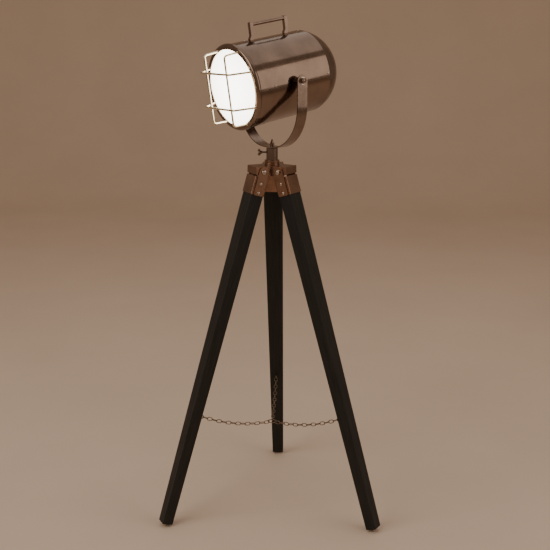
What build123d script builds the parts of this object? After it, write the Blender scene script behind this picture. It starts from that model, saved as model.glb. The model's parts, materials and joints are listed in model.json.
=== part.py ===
from build123d import *
from math import asin, atan2, cos, degrees, hypot, radians, sin
import os

# Tripod floor lamp: a searchlight head in a yoke, on a hub with three folding wooden legs.
# Millimetres, +Z up. The origin is on the stand's axis at the floor, and the rear leg points to +Y.

os.makedirs("parts", exist_ok=True)

# ---------------------------------------------------------------- driving sizes

# Clearances
RUN = 0.05             # radial gap of a turning shaft, and end gap of a turning face
SWING = 0.2            # side gap of the lugs between their straps
WOOD_GAP = 0.2         # gap between a leg and the sleeve round it

# Tripod
LEG_AZIMUTH = {"rear": 90.0, "left": 210.0, "right": 330.0}
FOOT_RADIUS = 366.8    # from the stand's axis to the middle of a foot
PIVOT_RADIUS = 42.2    # from the stand's axis to a leg's pivot
PIVOT_HEIGHT = 1064.0
LEG_WIDTH_TOP = 58.1   # along the pivot's axis, at the height of the pivot
LEG_WIDTH_FOOT = 36.0
LEG_DEPTH_TOP = 40.0
LEG_DEPTH_FOOT = 32.4
LEG_ROUND = 2.5        # rounding of the leg's long edges

# Foot tip
TIP_HEIGHT = 11.0      # how far the tip stands out of the leg
TIP_RADIUS = 5.0
TIP_COLLAR_RADIUS = 8.0
TIP_COLLAR_HEIGHT = 3.0
TIP_SHANK_RADIUS = 3.0
TIP_SHANK_LENGTH = 28.0

# Leg sleeve and straps
SLEEVE_TOP = 16.0      # below the pivot, along the leg
SLEEVE_LENGTH = 53.0
SLEEVE_WIDTH = 60.0
SLEEVE_DEPTH = 44.0
SLEEVE_PLATE = 1.5     # the plate that closes the sleeve's top
STRAP_THICKNESS = 3.0
STRAP_WIDTH = 30.0
STRAP_END = 70.0       # below the pivot, along the leg
STRAP_CORNER = 5.0
STRAP_SCREW_DROPS = (35.0, 62.0)
WOOD_SCREW_RADIUS = 2.0
WOOD_SCREW_LENGTH = 16.0
WOOD_SCREW_HEAD_RADIUS = 4.6
WOOD_SCREW_HEAD_HEIGHT = 2.8
BOLT_RADIUS = 4.0      # leg pivot bolt
BOLT_HEAD_RADIUS = 7.5
BOLT_HEAD_HEIGHT = 5.0
NUT_FLATS = 13.0       # across the flats of the pivot nut
NUT_HEIGHT = 4.0

# Hub
LUG_RISE = 16.0        # top of the lugs above the pivots
LUG_TOP_RADIUS = 66.0  # outer end of a lug at its top
LUG_GAP = 4.0          # between a lug's underside and the sleeve below it
LUG_ROUND = 1.5
CORE_RADIUS = 26.0
COLLAR_RADIUS = 22.0
COLLAR_HEIGHT = 14.0
COLLAR_GROOVE = 1.4
STEM_RISE = 50.0       # top of the socket tube above the lugs
STEM_RADIUS = 17.0
STEM_DEPTH = 18.0      # how far the tube reaches below the top of the lugs
STEM_CHAMFER = 1.2

# Spigot, washer and finial under and over the yoke
SPIGOT_RADIUS = 11.0
SPIGOT_LENGTH = 61.55  # below the yoke
NECK_RADIUS = 4.0
NECK_LENGTH = 9.0      # above the yoke's strap
PAN_WASHER = 1.5
FINIAL_RADIUS = 6.5
FINIAL_BASE = 8.0
FINIAL_HEIGHT = 20.0
FINIAL_TIP_RADIUS = 2.6

# Thumb screw that locks the pan
LOCK_AZIMUTH = 183.0
LOCK_DROP = 13.5       # below the top of the socket tube
LOCK_RADIUS = 2.5
LOCK_REACH = 36.0      # from the stand's axis to the wings
WING_LOBE_RADIUS = 4.5
WING_SPREAD = 5.5      # from the screw's axis to a lobe's middle
WING_THICKNESS = 3.0
LOCK_BOSS_RADIUS = 4.5
LOCK_BOSS_LENGTH = 7.0

# Spreader chains
CHAIN_HEIGHT = 338.0   # of the eye's seat on the leg's axis
RING_HEIGHT = 271.0
RING_RADIUS = 12.75    # to the middle of the wire
RING_WIRE = 1.5        # radius
EYE_RADIUS = 5.2
EYE_WIRE = 1.3         # radius
EYE_NECK = 4.0
EYE_SHANK = 14.0
LINK_WIRE = 1.25       # radius
LINK_WIDTH = 12.0
LINK_COUNT = 14        # even, so that both ends of a chain meet their rings crosswise
LINK_PLAY = 0.3        # gap between the wires of two links
CHAIN_SAG = 13.0

# Yoke
TILT_RISE = 198.7      # of the tilt axis above the top of the socket tube
PAN_ANGLE = 220.5      # direction of the beam about +Z
TILT_ANGLE = 8.75      # nose down
YOKE_WIDTH = 34.0
YOKE_THICKNESS = 3.0
YOKE_SIDE_GAP = 19.0   # from the drum to the inner face of an arm
YOKE_FLAT = 15.0       # half of the flat at the yoke's foot, between the bends

# Drum and rear cap, from the tilt axis along the beam
DRUM_RADIUS = 118.0
DRUM_WALL = 1.5
DRUM_FRONT = 127.0
DRUM_REAR = -118.0
CAP_DEPTH = 88.0
CAP_LIP = 12.0
BODY_SCREW_RADIUS = 1.5
BODY_SCREW_HEAD_RADIUS = 3.2
BODY_SCREW_HEAD_HEIGHT = 2.0
BODY_SCREW_LENGTH = 5.0
BODY_SCREW_ANGLES = (0.0, 90.0, 180.0, 270.0)

# Bezel, lens and their rings
BEZEL_LEAD = 15.0      # from the drum's front end to the front of the bezel
BEZEL_PROUD = 4.0      # how far the bead stands out round the drum
BEZEL_BEAD = 7.5
BEZEL_SHEET = 1.5
SKIRT_REAR = 73.0
SKIRT_SCREW = 79.0
LENS_MARGIN = 11.0     # from the drum's outside to the lens opening
LENS_OVERLAP = 6.0     # how far the lens reaches behind the bezel's lip
LENS_THICKNESS = 4.0
LENS_RIM = 7.5         # width of the lens's flat rim, outside the dome
LENS_RISE = 7.0
GASKET_THICKNESS = 1.2
SPACER_DEPTH = 9.0     # from the drum's outside to the spacer's bore

# Wire guard
GUARD_WIRE = 3.0       # radius
GUARD_SPACING = 48.6   # from the middle to a wire
GUARD_EDGE = 3.8       # from the lens opening to the middle of a foot
GUARD_STANDOFF = 45.0
UPRIGHT_HALF = 97.0
RAIL_HALF = 68.5
GUARD_BEND = 9.0

# Handle
POST_FRONT = 51.5
POST_REAR = -70.5
POST_SIZE = 11.0
POST_HEIGHT = 48.5     # above the drum
POST_KINK = 5.0        # the foot's step towards the front
POST_KINK_LOW = 4.0
POST_KINK_HIGH = 12.0
POST_CHAMFER = 1.0
GRIP_RADIUS = 5.0
GRIP_DROP = 6.5        # below the top of the posts
GRIP_SEAT = 6.0        # depth of its seat in a post
HANDLE_SCREW_RADIUS = 2.5
HANDLE_SCREW_LENGTH = 7.0

# Tilt pivots
STUD_RADIUS = 4.0
STUD_HEAD_RADIUS = 9.0
STUD_HEAD_HEIGHT = 4.0
BUSH_RADIUS = 9.0
WASHER_RADIUS = 11.0
WASHER_THICKNESS = 1.5
KNOB_RADIUS = 8.0
KNOB_LENGTH = 9.0
KNOB_SEAT = 6.0        # depth of its threaded hole

# Reflector, lampholder, bulb and cable gland
MIRROR_DEPTH = 80.26
MIRROR_MARGIN = 12.0   # from the drum's outside to the reflector's rim
MIRROR_HOLE = 26.0
MIRROR_SHEET = 1.2
HOLDER_FRONT = 32.0
HOLDER_REAR = -15.0
HOLDER_RADIUS = 18.5
HOLDER_FLOOR = 20.0
BULB_BASE_RADIUS = 13.2
BULB_BASE_LENGTH = 27.0
BULB_RADIUS = 30.0
BULB_LENGTH = 106.0
TUBE_RADIUS = 5.0      # hollow stem that carries the lampholder
TUBE_BORE = 3.9
TUBE_OUTSIDE = 8.0     # how far it stands out of the rear cap
STEM_NUT_FLATS = 17.0
STEM_NUT_HEIGHT = 4.0
GLAND_RADIUS = 9.0
GLAND_BASE = 8.0
GLAND_LENGTH = 22.0
GLAND_END_RADIUS = 6.0
GLAND_BORE = 3.3

# ---------------------------------------------------------------- worked out

SPLAY = atan2(FOOT_RADIUS - PIVOT_RADIUS, PIVOT_HEIGHT)
LEG_REACH = hypot(FOOT_RADIUS - PIVOT_RADIUS, PIVOT_HEIGHT)
LEG_TOP = SLEEVE_TOP + SLEEVE_PLATE
LUG_TOP = PIVOT_HEIGHT + LUG_RISE
STEM_TOP = LUG_TOP + STEM_RISE
STEM_SEAT = LUG_TOP - STEM_DEPTH
TILT_HEIGHT = STEM_TOP + TILT_RISE
LEG_END = LEG_REACH - TIP_HEIGHT
LUG_HALF = SLEEVE_WIDTH / 2 - SWING
STRAP_FACE = SLEEVE_WIDTH / 2 + STRAP_THICKNESS
UNDER_DROP = SLEEVE_TOP - LUG_GAP
UNDER_HEIGHT = PIVOT_HEIGHT - UNDER_DROP * cos(SPLAY)
YOKE_UNDERSIDE = STEM_TOP + PAN_WASHER + RUN
SPIGOT_BOTTOM = YOKE_UNDERSIDE - SPIGOT_LENGTH
LOCK_HEIGHT = STEM_TOP - LOCK_DROP
YOKE_FLOOR = YOKE_UNDERSIDE + YOKE_THICKNESS
YOKE_INNER = DRUM_RADIUS + YOKE_SIDE_GAP
YOKE_OUTER = YOKE_INNER + YOKE_THICKNESS
YOKE_BEND = YOKE_OUTER - YOKE_FLAT
BORE_RADIUS = DRUM_RADIUS - DRUM_WALL
SKIRT_INNER = DRUM_RADIUS + RUN
BEZEL_FRONT = DRUM_FRONT + BEZEL_LEAD
BEZEL_RADIUS = DRUM_RADIUS + BEZEL_PROUD
LENS_OPENING = DRUM_RADIUS - LENS_MARGIN
LENS_RADIUS = LENS_OPENING + LENS_OVERLAP
LENS_FLAT = LENS_RADIUS - LENS_RIM
SPACER_INNER = DRUM_RADIUS - SPACER_DEPTH
GUARD_FOOT = LENS_OPENING + GUARD_EDGE
MIRROR_RIM = DRUM_RADIUS - MIRROR_MARGIN
MIRROR_FOCUS = MIRROR_RIM**2 / (4 * MIRROR_DEPTH)
LENS_FRONT = BEZEL_FRONT - BEZEL_SHEET - GASKET_THICKNESS
LENS_REAR = LENS_FRONT - LENS_THICKNESS
MIRROR_FRONT = DRUM_FRONT + MIRROR_SHEET
CAP_END = DRUM_REAR - CAP_DEPTH

sub_parts = {}

# ---------------------------------------------------------------- shared shapes


def rod(start, end, radius, bore=0.0):
    """A round bar or tube between two points."""
    start, end = Vector(*start), Vector(*end)
    seat = Plane(origin=start, z_dir=end - start)
    bar = Solid.make_cylinder(radius, (end - start).length, seat)
    if bore:
        bar -= Solid.make_cylinder(bore, (end - start).length, seat)
    return bar


def cone(start, end, radius_start, radius_end):
    """A tapered round bar between two points."""
    start, end = Vector(*start), Vector(*end)
    seat = Plane(origin=start, z_dir=end - start)
    return Solid.make_cone(radius_start, radius_end, (end - start).length, seat)


def turned(outline):
    """A solid turned about X, from outline edges in X (along) and Y (radius)."""
    return revolve(Face(Wire(outline)), Axis.X)


def hexagon(start, end, flats, bore=0.0):
    """A hexagonal nut blank between two points."""
    start, end = Vector(*start), Vector(*end)
    seat = Plane(origin=start, z_dir=end - start)
    length = (end - start).length
    nut = extrude(seat * RegularPolygon(flats / 2, 6, major_radius=False), length)
    if bore:
        nut -= Solid.make_cylinder(bore, length, seat)
    return nut


def domed_screw(face, direction, head_radius, head_height, shank_radius, shank_length):
    """A round-headed screw whose head sits on face and whose shank points against direction."""
    face, direction = Vector(*face), Vector(*direction).normalized()
    top = face + direction * head_height
    head = rod(face, top, head_radius)
    head = fillet(head.edges().sort_by(lambda edge: edge.center().dot(direction))[-1], head_height * 0.8)
    return head + rod(face - direction * shank_length, face, shank_radius)


def group(solids):
    """Separate solids that are kept in one node."""
    return Compound(children=[solid for shape in solids for solid in shape.solids()])


# ---------------------------------------------------------------- legs


def leg_place(azimuth):
    """Where a leg's own frame lies: origin at its pivot, X outwards, Y along the pivot, Z up the leg."""
    angle = radians(azimuth)
    outward = Vector(cos(angle), sin(angle), 0)
    up_leg = outward * -sin(SPLAY) + Vector(0, 0, cos(SPLAY))
    across = outward * cos(SPLAY) + Vector(0, 0, sin(SPLAY))
    pivot = outward * PIVOT_RADIUS + Vector(0, 0, PIVOT_HEIGHT)
    return Plane(origin=pivot, x_dir=across, z_dir=up_leg).location


def leg_depth(drop):
    """Depth of the tapered leg at a distance below its pivot."""
    return LEG_DEPTH_TOP + (LEG_DEPTH_FOOT - LEG_DEPTH_TOP) * drop / LEG_REACH


def leg_width(drop):
    """Width of the tapered leg at a distance below its pivot."""
    return LEG_WIDTH_TOP + (LEG_WIDTH_FOOT - LEG_WIDTH_TOP) * drop / LEG_REACH


def leg_block(start, end, growth=0.0):
    """The leg's tapered bar between two distances below its pivot."""
    sections = []
    for drop in (start, end):
        outline = RectangleRounded(leg_depth(drop) + 2 * growth, leg_width(drop) + 2 * growth, LEG_ROUND)
        sections.append(Pos(0, 0, -drop) * outline)
    return loft(sections, ruled=True)


def strap_screws():
    """Two screws on each side, through strap and sleeve into the leg."""
    screws = []
    for side in (-1, 1):
        for drop in STRAP_SCREW_DROPS:
            screws.append(
                domed_screw(
                    (0, side * STRAP_FACE, -drop),
                    (0, side, 0),
                    WOOD_SCREW_HEAD_RADIUS,
                    WOOD_SCREW_HEAD_HEIGHT,
                    WOOD_SCREW_RADIUS,
                    WOOD_SCREW_LENGTH,
                )
            )
    return screws


def screw_holes():
    """Holes for the strap screws, right through the leg's head."""
    reach = STRAP_FACE + 1
    holes = [
        rod((0, -reach, -drop), (0, reach, -drop), WOOD_SCREW_RADIUS + RUN) for drop in STRAP_SCREW_DROPS
    ]
    return holes[0] + holes[1:]


def strap(side):
    """One flat strap, round about the pivot and screwed to the sleeve."""
    length = STRAP_END
    blade = Pos(0, -length / 2) * Rectangle(STRAP_WIDTH, length)
    blade = fillet(blade.vertices().group_by(Axis.Y)[0], STRAP_CORNER)
    blade += Circle(STRAP_WIDTH / 2)
    blade -= Circle(BOLT_RADIUS + RUN)
    face = Plane(origin=(0, side * SLEEVE_WIDTH / 2, 0), x_dir=(-side, 0, 0), z_dir=(0, side, 0))
    return extrude(face * blade, STRAP_THICKNESS) - screw_holes()


def sleeve():
    """The rectangular sleeve on the head of a leg, closed at its top."""
    block = Pos(0, 0, -SLEEVE_TOP - SLEEVE_LENGTH / 2) * Box(SLEEVE_DEPTH, SLEEVE_WIDTH, SLEEVE_LENGTH)
    block = fillet(block.edges().filter_by(Axis.Z), LEG_ROUND)
    return block - leg_block(LEG_TOP, SLEEVE_TOP + SLEEVE_LENGTH + 1, WOOD_GAP) - screw_holes()


def pivot_bolt():
    """The pivot bolt with its domed head, and the domed nut on its far end."""
    head_face = STRAP_FACE
    head = rod((0, head_face, 0), (0, head_face + BOLT_HEAD_HEIGHT, 0), BOLT_HEAD_RADIUS)
    head = fillet(head.edges().sort_by(Axis.Y)[-1], BOLT_HEAD_HEIGHT * 0.8)
    bolt = head + rod((0, -head_face - NUT_HEIGHT, 0), (0, head_face, 0), BOLT_RADIUS)
    nut = hexagon((0, -head_face, 0), (0, -head_face - NUT_HEIGHT, 0), NUT_FLATS)
    dome = rod((0, -head_face - NUT_HEIGHT, 0), (0, -head_face - NUT_HEIGHT * 2, 0), NUT_FLATS / 2 - 0.5)
    dome = fillet(dome.edges().sort_by(Axis.Y)[0], NUT_HEIGHT * 0.8)
    nut = nut + dome - rod((0, -head_face - NUT_HEIGHT, 0), (0, -head_face, 0), BOLT_RADIUS)
    return [bolt, nut]


def foot_tip():
    """The metal tip under a leg: a shank in the wood, a collar and a peg down to the floor."""
    collar_end = LEG_END + TIP_COLLAR_HEIGHT
    shank = rod((0, 0, -LEG_END), (0, 0, TIP_SHANK_LENGTH - LEG_END), TIP_SHANK_RADIUS)
    collar = rod((0, 0, -collar_end), (0, 0, -LEG_END), TIP_COLLAR_RADIUS)
    peg = rod((0, 0, -LEG_REACH - 2 * TIP_RADIUS), (0, 0, -collar_end), TIP_RADIUS)
    return shank + collar + peg


def leg_bar():
    """The wooden leg, with the holes for its tip, eye and screws."""
    bar = leg_block(LEG_TOP, LEG_END)
    bar -= rod((0, 0, -LEG_END), (0, 0, TIP_SHANK_LENGTH + 1 - LEG_END), TIP_SHANK_RADIUS)
    bar -= rod((EYE_SEAT, 0, -EYE_DROP), (EYE_SEAT + EYE_SHANK, 0, -EYE_DROP), EYE_WIRE)
    return bar - screw_holes()


# The eye is seated on the leg's inner face, and its ring stands clear of it by the neck.
EYE_DROP = (PIVOT_HEIGHT - CHAIN_HEIGHT) / cos(SPLAY)
EYE_SEAT = -leg_depth(EYE_DROP) / 2
EYE_MIDDLE = EYE_SEAT - EYE_NECK - EYE_RADIUS


def chain_eye():
    """The screw eye that the chain hangs on, in the leg's frame."""
    ring = Solid.make_torus(EYE_RADIUS, EYE_WIRE, Plane(origin=(EYE_MIDDLE, 0, -EYE_DROP), z_dir=(0, 1, 0)))
    shank = rod((EYE_MIDDLE + EYE_RADIUS, 0, -EYE_DROP), (EYE_SEAT + EYE_SHANK, 0, -EYE_DROP), EYE_WIRE)
    return ring + shank


floor_block = Pos(0, 0, -50) * Box(1200, 1200, 100)
for side_name, azimuth in LEG_AZIMUTH.items():
    place = leg_place(azimuth)
    sub_parts[f"{side_name}_leg"] = place * leg_bar()
    sub_parts[f"{side_name}_leg_sleeve"] = place * sleeve()
    sub_parts[f"{side_name}_leg_straps"] = place * group([strap(-1), strap(1)])
    sub_parts[f"{side_name}_strap_screws"] = place * group(strap_screws())
    sub_parts[f"{side_name}_pivot_bolt"] = place * group(pivot_bolt())
    sub_parts[f"{side_name}_foot_tip"] = place * foot_tip() - floor_block
    sub_parts[f"{side_name}_chain_eye"] = place * chain_eye()

# ---------------------------------------------------------------- spreader chains


def chain_link(length):
    """One oval link along X, lying in the XY plane, of a length between its wires' middles."""
    bend = LINK_WIDTH / 2 - LINK_WIRE
    straight = length / 2 - bend
    sides = [rod((-straight, side * bend, 0), (straight, side * bend, 0), LINK_WIRE) for side in (-1, 1)]
    ends = []
    for end in (-1, 1):
        half_ring = Solid.make_torus(bend, LINK_WIRE, Plane((0, 0, 0), x_dir=(0, -end, 0)), major_angle=180)
        ends.append(Pos(end * straight, 0, 0) * half_ring)
    return sides[0] + [sides[1]] + ends


def chain_joints(start, end):
    """Where the links meet, on an arc that sags below the line from start to end."""
    chord = end - start
    span = chord.length
    radius = (span**2 / 4 + CHAIN_SAG**2) / (2 * CHAIN_SAG)
    half_angle = asin(span / 2 / radius)
    along = chord.normalized()
    below = Vector(chord.Z, 0, -chord.X).normalized()
    if below.Z > 0:
        below = below * -1
    middle = (start + end) * 0.5 - below * (radius - CHAIN_SAG)
    joints = []
    for number in range(LINK_COUNT + 1):
        angle = half_angle * (2 * number / LINK_COUNT - 1)
        joints.append(middle + along * (radius * sin(angle)) + below * (radius * cos(angle)))
    return joints


def chain():
    """A leg's chain from its eye to the ring, for a leg that points along +X."""
    drop = Vector(EYE_MIDDLE, 0, -EYE_DROP)
    eye = Vector(
        PIVOT_RADIUS + drop.X * cos(SPLAY) - drop.Z * sin(SPLAY),
        0,
        PIVOT_HEIGHT + drop.X * sin(SPLAY) + drop.Z * cos(SPLAY),
    )
    to_link = LINK_WIRE + LINK_PLAY / 2
    ring = Vector(RING_RADIUS - RING_WIRE - LINK_PLAY, 0, RING_HEIGHT)
    slope = (ring - eye).normalized()
    first = eye + slope * (EYE_RADIUS - EYE_WIRE - LINK_PLAY)
    joints = chain_joints(first, ring)
    length = (joints[1] - joints[0]).length + 2 * to_link
    link = chain_link(length)
    links = []
    for number in range(LINK_COUNT):
        start, end = joints[number], joints[number + 1]
        across = Vector(0, 1, 0)
        flat = number % 2 == 0
        normal = (end - start).cross(across) if flat else across
        seat = Plane(origin=(start + end) * 0.5, x_dir=end - start, z_dir=normal)
        links.append(seat.location * link)
    return links


leg_chain = chain()
for side_name, azimuth in LEG_AZIMUTH.items():
    sub_parts[f"{side_name}_chain"] = Rot(0, 0, azimuth) * group(leg_chain)
sub_parts["chain_ring"] = Solid.make_torus(RING_RADIUS, RING_WIRE, Plane(origin=(0, 0, RING_HEIGHT)))

# ---------------------------------------------------------------- hub and socket


def lug():
    """One box lug of the hub, for a leg that points along +X."""
    corner_x = SLEEVE_DEPTH / 2
    corner = (
        PIVOT_RADIUS + UNDER_DROP * sin(SPLAY) + corner_x * cos(SPLAY),
        PIVOT_HEIGHT - UNDER_DROP * cos(SPLAY) + corner_x * sin(SPLAY),
    )
    knee = (PIVOT_RADIUS + UNDER_DROP * sin(SPLAY), UNDER_HEIGHT)
    outline = Polyline(
        (0, LUG_TOP), (LUG_TOP_RADIUS, LUG_TOP), corner, knee, (0, UNDER_HEIGHT), close=True
    )
    block = extrude(Plane.XZ * make_face(outline), LUG_HALF, both=True)
    block = fillet(block.faces().sort_by(Axis.X)[-1].edges(), LUG_ROUND)
    bolt_hole = rod(
        (PIVOT_RADIUS, -LUG_HALF - 1, PIVOT_HEIGHT),
        (PIVOT_RADIUS, LUG_HALF + 1, PIVOT_HEIGHT),
        BOLT_RADIUS + RUN,
    )
    return block - bolt_hole


hub = rod((0, 0, UNDER_HEIGHT), (0, 0, LUG_TOP), CORE_RADIUS)
hub += [Rot(0, 0, azimuth) * lug() for azimuth in LEG_AZIMUTH.values()]
hub += rod((0, 0, LUG_TOP), (0, 0, LUG_TOP + COLLAR_HEIGHT), COLLAR_RADIUS)
collar_middle = LUG_TOP + COLLAR_HEIGHT / 2
hub -= Solid.make_torus(COLLAR_RADIUS + 0.4, COLLAR_GROOVE, Plane(origin=(0, 0, collar_middle)))
hub -= rod((0, 0, STEM_SEAT), (0, 0, LUG_TOP + COLLAR_HEIGHT), STEM_RADIUS + RUN)
sub_parts["hub"] = hub

lock_out = Vector(cos(radians(LOCK_AZIMUTH)), sin(radians(LOCK_AZIMUTH)), 0)
lock_middle = Vector(0, 0, LOCK_HEIGHT)

socket_tube = rod((0, 0, STEM_SEAT), (0, 0, STEM_TOP), STEM_RADIUS)
socket_tube = chamfer(socket_tube.edges().sort_by(Axis.Z)[-1], STEM_CHAMFER)
socket_tube -= rod((0, 0, STEM_SEAT), (0, 0, STEM_TOP), SPIGOT_RADIUS + RUN)
socket_tube -= rod(lock_middle, lock_middle + lock_out * (STEM_RADIUS + 1), LOCK_RADIUS + RUN)
sub_parts["socket_tube"] = socket_tube

sub_parts["pan_washer"] = rod(
    (0, 0, STEM_TOP), (0, 0, STEM_TOP + PAN_WASHER), STEM_RADIUS - STEM_CHAMFER, SPIGOT_RADIUS + RUN
)

# ---------------------------------------------------------------- pan lock

screw_tip = lock_middle + lock_out * (SPIGOT_RADIUS + RUN)
wing_middle = lock_middle + lock_out * LOCK_REACH
boss_start = wing_middle - lock_out * LOCK_BOSS_LENGTH
thumb_screw = rod(screw_tip, wing_middle, LOCK_RADIUS)
thumb_screw += rod(boss_start, wing_middle + lock_out * 2, LOCK_BOSS_RADIUS)
wing_side = Vector(0, 0, 1).cross(lock_out)
for side in (-1, 1):
    lobe = wing_middle + lock_out * 2 + Vector(0, 0, side * WING_SPREAD)
    half = wing_side * (WING_THICKNESS / 2)
    thumb_screw += rod(lobe - half, lobe + half, WING_LOBE_RADIUS)
sub_parts["thumb_screw"] = thumb_screw

# ---------------------------------------------------------------- yoke

beam = Vector(cos(radians(PAN_ANGLE)), sin(radians(PAN_ANGLE)), 0)
yoke_place = Plane(origin=(0, 0, TILT_HEIGHT), x_dir=beam, z_dir=(0, 0, 1)).location
head_place = yoke_place * Rot(0, TILT_ANGLE, 0)


def yoke_outline(half_width, bottom, bend):
    """A rectangle from the tilt axis down to bottom, with its two lower corners rounded."""
    height = TILT_HEIGHT - bottom
    shape = Pos(0, -height / 2) * Rectangle(2 * half_width, height)
    return fillet(shape.vertices().group_by(Axis.Y)[0], bend)


strip = yoke_outline(YOKE_OUTER, YOKE_UNDERSIDE, YOKE_BEND)
strip -= yoke_outline(YOKE_INNER, YOKE_FLOOR, YOKE_BEND - YOKE_THICKNESS)
yoke = extrude(Plane.YZ * strip, YOKE_WIDTH / 2, both=True)
for side in (-1, 1):
    inner, outer = (0, side * YOKE_INNER, 0), (0, side * YOKE_OUTER, 0)
    yoke += rod(inner, outer, YOKE_WIDTH / 2)
    yoke -= rod(inner, outer, STUD_RADIUS + RUN)
yoke = yoke_place * yoke
yoke -= rod((0, 0, YOKE_UNDERSIDE), (0, 0, YOKE_FLOOR), NECK_RADIUS + RUN)
sub_parts["yoke"] = yoke

spigot = rod((0, 0, SPIGOT_BOTTOM), (0, 0, YOKE_UNDERSIDE), SPIGOT_RADIUS)
spigot = chamfer(spigot.edges().sort_by(Axis.Z)[0], 1)
spigot += rod((0, 0, YOKE_UNDERSIDE), (0, 0, YOKE_FLOOR + NECK_LENGTH), NECK_RADIUS)
sub_parts["yoke_spigot"] = spigot

finial = rod((0, 0, YOKE_FLOOR), (0, 0, YOKE_FLOOR + FINIAL_BASE), FINIAL_RADIUS)
finial_shoulder = (0, 0, YOKE_FLOOR + FINIAL_BASE)
finial_end = (0, 0, YOKE_FLOOR + FINIAL_HEIGHT - FINIAL_TIP_RADIUS)
finial += cone(finial_shoulder, finial_end, FINIAL_RADIUS - 0.5, FINIAL_TIP_RADIUS * 0.7)
finial += Pos(*finial_end) * Sphere(FINIAL_TIP_RADIUS)
finial -= rod((0, 0, YOKE_FLOOR), (0, 0, YOKE_FLOOR + NECK_LENGTH), NECK_RADIUS + RUN)
sub_parts["yoke_finial"] = finial

# ---------------------------------------------------------------- drum and rear cap


def radial(x, angle, radius):
    """A point of the head at a place along the beam, an angle round it and a radius."""
    return Vector(x, radius * cos(radians(angle)), radius * sin(radians(angle)))


def body_screws(x, seat_radius):
    """Small round-headed screws round the body."""
    screws = []
    for angle in BODY_SCREW_ANGLES:
        screws.append(
            domed_screw(
                radial(x, angle, seat_radius),
                radial(0, angle, 1),
                BODY_SCREW_HEAD_RADIUS,
                BODY_SCREW_HEAD_HEIGHT,
                BODY_SCREW_RADIUS,
                BODY_SCREW_LENGTH,
            )
        )
    return screws


def body_screw_holes(x):
    """Holes for a ring of body screws."""
    near, far = BORE_RADIUS - 6, DRUM_RADIUS + 6
    holes = []
    for angle in BODY_SCREW_ANGLES:
        holes.append(rod(radial(x, angle, near), radial(x, angle, far), BODY_SCREW_RADIUS))
    return holes[0] + holes[1:]


CAP_SCREW = DRUM_REAR + CAP_LIP / 2
drum_core = rod((DRUM_REAR, 0, 0), (DRUM_FRONT, 0, 0), DRUM_RADIUS)
stud_hole = rod((0, -YOKE_INNER, 0), (0, YOKE_INNER, 0), STUD_RADIUS)

drum = drum_core - rod((DRUM_REAR, 0, 0), (DRUM_FRONT, 0, 0), BORE_RADIUS)
drum -= stud_hole
drum -= body_screw_holes(SKIRT_SCREW)
drum -= body_screw_holes(CAP_SCREW)
for post in (POST_FRONT, POST_REAR):
    foot_x = post + POST_KINK
    drum -= rod((foot_x, 0, 0), (foot_x, 0, DRUM_RADIUS), HANDLE_SCREW_RADIUS)
sub_parts["drum"] = head_place * drum

cap_lip_radius = BORE_RADIUS - RUN
cap_inner_radius = cap_lip_radius - DRUM_WALL
dome_radius = (DRUM_RADIUS**2 + CAP_DEPTH**2) / (2 * CAP_DEPTH)
dome_middle = CAP_END + dome_radius


def dome_arc(radius, edge):
    """The dome's arc from its edge, at a distance from the beam's axis, back to its pole."""
    sweep_angle = degrees(asin(edge / radius))
    return CenterArc((dome_middle, 0), radius, 180 - sweep_angle, sweep_angle)


outer_dome = dome_arc(dome_radius, DRUM_RADIUS)
inner_dome = dome_arc(dome_radius - DRUM_WALL, cap_inner_radius)
cap_outline = [
    Line(outer_dome @ 1, inner_dome @ 1),
    inner_dome,
    Line(inner_dome @ 0, (DRUM_REAR + CAP_LIP, cap_inner_radius)),
    Line((DRUM_REAR + CAP_LIP, cap_inner_radius), (DRUM_REAR + CAP_LIP, cap_lip_radius)),
    Line((DRUM_REAR + CAP_LIP, cap_lip_radius), (DRUM_REAR, cap_lip_radius)),
    Line((DRUM_REAR, cap_lip_radius), outer_dome @ 0),
    outer_dome,
]
rear_cap = turned(cap_outline)
rear_cap -= rod((CAP_END - 1, 0, 0), (CAP_END + 10, 0, 0), TUBE_RADIUS)
rear_cap -= body_screw_holes(CAP_SCREW)
sub_parts["rear_cap"] = head_place * rear_cap
sub_parts["rear_cap_screws"] = head_place * group(body_screws(CAP_SCREW, DRUM_RADIUS))

# ---------------------------------------------------------------- bezel and lens

bead_x, bead_r = BEZEL_FRONT - BEZEL_BEAD, BEZEL_RADIUS - BEZEL_BEAD
skirt_outer = SKIRT_INNER + BEZEL_SHEET
bead_inner = BEZEL_BEAD - BEZEL_SHEET


def bead_start(radius, skirt):
    """Angle on the bead's circle where the skirt's line meets it."""
    return 180 - degrees(asin((skirt - bead_r) / radius))


def bead_arc(radius, skirt):
    """The bead's rounded sheet, from the flat front face round to the skirt."""
    return CenterArc((bead_x, bead_r), radius, 0, bead_start(radius, skirt))


outer_arc = bead_arc(BEZEL_BEAD, skirt_outer)
inner_arc = bead_arc(bead_inner, SKIRT_INNER)
lip_front, lip_rear = BEZEL_FRONT, BEZEL_FRONT - BEZEL_SHEET
bezel_outline = [
    Line((lip_rear, LENS_OPENING), (lip_front, LENS_OPENING)),
    Line((lip_front, LENS_OPENING), (lip_front, bead_r)),
    outer_arc,
    Line(outer_arc @ 1, (SKIRT_REAR, skirt_outer)),
    Line((SKIRT_REAR, skirt_outer), (SKIRT_REAR, SKIRT_INNER)),
    Line((SKIRT_REAR, SKIRT_INNER), inner_arc @ 1),
    inner_arc,
    Line((lip_rear, bead_r), (lip_rear, LENS_OPENING)),
]
sub_parts["bezel"] = head_place * (turned(bezel_outline) - body_screw_holes(SKIRT_SCREW))
sub_parts["bezel_screws"] = head_place * group(body_screws(SKIRT_SCREW, skirt_outer))


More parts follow.
